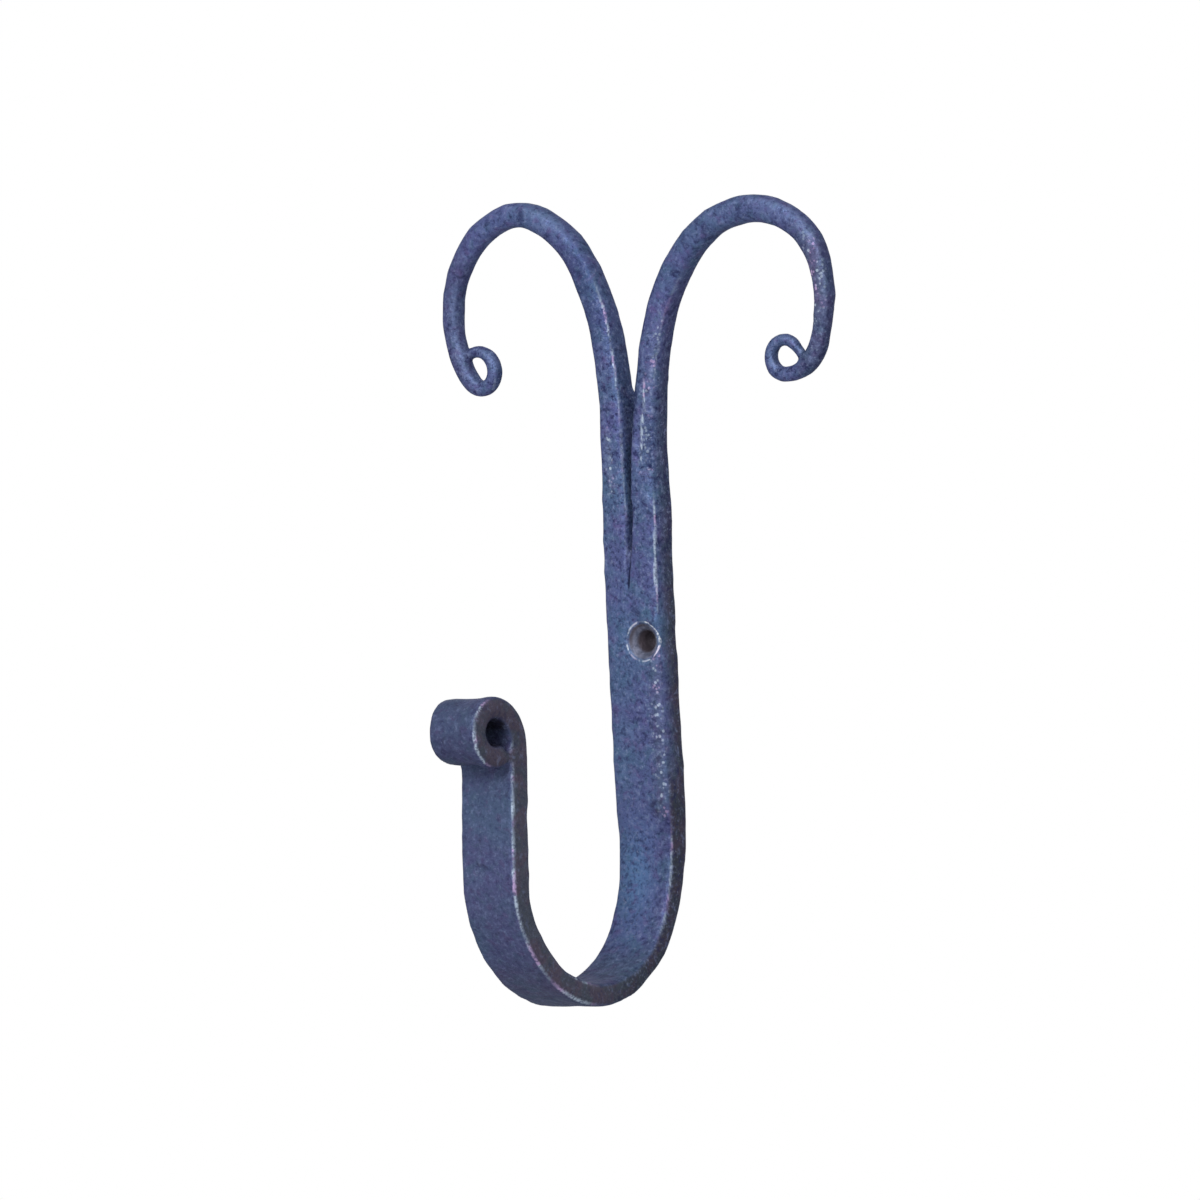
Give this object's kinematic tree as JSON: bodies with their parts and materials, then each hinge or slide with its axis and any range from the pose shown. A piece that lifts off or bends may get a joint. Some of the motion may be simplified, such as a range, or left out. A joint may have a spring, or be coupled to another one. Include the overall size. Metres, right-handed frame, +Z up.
{
  "type": "coat hook",
  "caption": "Forged steel wall coat hook with a split, curled top, an upturned hook with a rolled tip and a screw hole.",
  "frame": {"origin": "centre of the screw hole at the hook's back face, on the wall plane", "axes": "+Z up along the shank, -Y out of the wall towards the room, +X to the right as seen from the room"},
  "size_m": [0.0916, 0.0627, 0.1498],
  "materials": {
    "forged_steel": "blued and waxed forged steel with hammered planes and worn bright edges"
  },
  "bodies": {
    "root": {"coat_hook": "forged_steel"}
  },
  "joints": []
}
